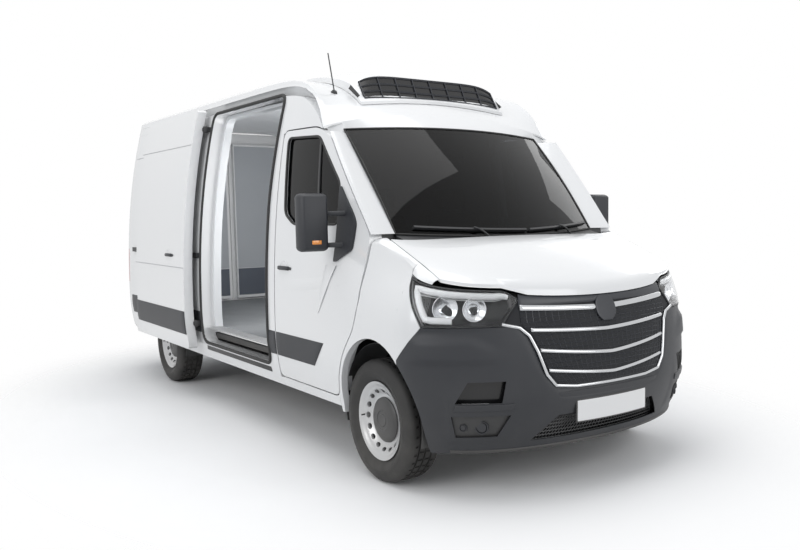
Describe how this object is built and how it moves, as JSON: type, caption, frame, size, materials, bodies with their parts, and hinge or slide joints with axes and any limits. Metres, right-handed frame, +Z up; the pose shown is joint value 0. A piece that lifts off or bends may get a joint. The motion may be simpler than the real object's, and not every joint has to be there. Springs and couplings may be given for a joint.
{
  "type": "refrigerated panel van",
  "caption": "Long high-roof panel van with an insulated load space, a roof cooling unit, an open sliding side door, hinged cab and rear doors and rolling, steering wheels.",
  "frame": {"origin": "on the ground below the middle of the vehicle's bounding box", "axes": "+X forward, +Y to the vehicle's left, +Z up"},
  "size_m": [5.5741, 2.4636, 2.5287],
  "materials": {
    "body_paint": "gloss white paint",
    "bumper_plastic": "grained charcoal plastic",
    "dark_trim": "fine-grained near-black plastic",
    "grille_plastic": "dark mesh with bright bars",
    "lamp_cover": "clear cover over bright reflectors",
    "tail_lens": "red lens",
    "window_glass": "tinted glass",
    "screen_glass": "clear laminated glass",
    "lining": "smooth white insulated lining",
    "load_floor": "ribbed floor plate",
    "bulkhead_grey": "light grey lining",
    "unit_shell": "white moulded shell",
    "evaporator_shell": "pale grey moulded shell",
    "chassis_paint": "matt black chassis paint",
    "bare_steel": "dull steel",
    "wheel_steel": "silver painted steel",
    "tyre": "black rubber",
    "seat_cloth": "dark woven cloth",
    "dash_plastic": "soft dark grey plastic",
    "wheel_leather": "black grained rim",
    "rubber": "black rubber",
    "engine_metal": "cast metal"
  },
  "bodies": {
    "body": {"floor_pan": "chassis_paint", "body_side_left": "body_paint", "body_side_right": "body_paint", "roof_panel": "body_paint", "front_wings": "body_paint", "scuttle": "dark_trim", "windscreen_pillars": "body_paint", "windscreen": "screen_glass", "front_bumper": "bumper_plastic", "grille": "grille_plastic", "headlamps": "lamp_cover", "sliding_door": "body_paint", "door_track": "dark_trim", "rear_frame": "body_paint", "tail_lamps": "tail_lens", "rear_step": "bumper_plastic", "liner_walls": "lining", "liner_floor": "load_floor", "liner_ceiling": "lining", "bulkhead_panel": "bulkhead_grey", "evaporator": "evaporator_shell", "condenser_housing": "unit_shell", "antenna": "rubber", "wipers": "dark_trim", "dashboard": "dash_plastic", "driver_seat": "seat_cloth", "passenger_bench": "seat_cloth", "engine_block": "engine_metal", "front_subframe": "chassis_paint", "rear_axle": "chassis_paint", "leaf_springs": "chassis_paint", "fuel_tank": "chassis_paint", "exhaust": "bare_steel", "spare_wheel": "tyre"},
    "bonnet": {"bonnet": "body_paint"},
    "cab_door_left": {"cab_door_left": "body_paint", "door_glass_left": "window_glass", "mirror_left": "bumper_plastic"},
    "cab_door_right": {"cab_door_right": "body_paint", "door_glass_right": "window_glass", "mirror_right": "bumper_plastic"},
    "rear_door_left": {"rear_door_left": "body_paint"},
    "rear_door_right": {"rear_door_right": "body_paint"},
    "knuckle_left": {"knuckle_left": "engine_metal"},
    "knuckle_right": {"knuckle_right": "engine_metal"},
    "front_wheel_left": {"front_rim_left": "wheel_steel", "front_tyre_left": "tyre"},
    "front_wheel_right": {"front_rim_right": "wheel_steel", "front_tyre_right": "tyre"},
    "rear_wheel_left": {"rear_rim_left": "wheel_steel", "rear_tyre_left": "tyre"},
    "rear_wheel_right": {"rear_rim_right": "wheel_steel", "rear_tyre_right": "tyre"},
    "steering_wheel": {"steering_wheel": "wheel_leather"}
  },
  "joints": [
    {"name": "steer_left", "type": "hinge", "parent": "body", "child": "knuckle_left", "pos_m": [1.9185, 0.8, 0.345], "axis": [0, 0, 1], "range_deg": [-33, 33]},
    {"name": "front_spin_left", "type": "hinge", "parent": "knuckle_left", "child": "front_wheel_left", "pos_m": [1.9185, 0.875, 0.345], "axis": [0, 1, 0], "continuous": true},
    {"name": "rear_spin_left", "type": "hinge", "parent": "body", "child": "rear_wheel_left", "pos_m": [-1.7635, 0.875, 0.345], "axis": [0, 1, 0], "continuous": true},
    {"name": "cab_door_left_hinge", "type": "hinge", "parent": "body", "child": "cab_door_left", "pos_m": [1.6625, 1.035, 1.2], "axis": [0, 0, -1], "range_deg": [0, 65]},
    {"name": "rear_door_left_hinge", "type": "hinge", "parent": "body", "child": "rear_door_left", "pos_m": [-2.7555, 0.828, 1.4], "axis": [0, 0, -1], "range_deg": [0, 180]},
    {"name": "steer_right", "type": "hinge", "parent": "body", "child": "knuckle_right", "pos_m": [1.9185, -0.8, 0.345], "axis": [0, 0, 1], "range_deg": [-33, 33]},
    {"name": "front_spin_right", "type": "hinge", "parent": "knuckle_right", "child": "front_wheel_right", "pos_m": [1.9185, -0.875, 0.345], "axis": [0, 1, 0], "continuous": true},
    {"name": "rear_spin_right", "type": "hinge", "parent": "body", "child": "rear_wheel_right", "pos_m": [-1.7635, -0.875, 0.345], "axis": [0, 1, 0], "continuous": true},
    {"name": "cab_door_right_hinge", "type": "hinge", "parent": "body", "child": "cab_door_right", "pos_m": [1.6625, -1.035, 1.2], "axis": [0, 0, 1], "range_deg": [0, 65]},
    {"name": "rear_door_right_hinge", "type": "hinge", "parent": "body", "child": "rear_door_right", "pos_m": [-2.7555, -0.828, 1.4], "axis": [0, 0, 1], "range_deg": [0, 180]},
    {"name": "bonnet_hinge", "type": "hinge", "parent": "body", "child": "bonnet", "pos_m": [1.9185, 0, 1.311], "axis": [0, -1, 0], "range_deg": [0, 55]},
    {"name": "steering_wheel_turn", "type": "hinge", "parent": "body", "child": "steering_wheel", "pos_m": [1.3585, 0.43, 1.215], "axis": [-0.5299, 0, 0.848], "range_deg": [-500, 500]}
  ],
  "couplings": [
    {"joint": "steer_right", "follows": "steer_left", "ratio": 1},
    {"joint": "steering_wheel_turn", "follows": "steer_left", "ratio": 15}
  ]
}
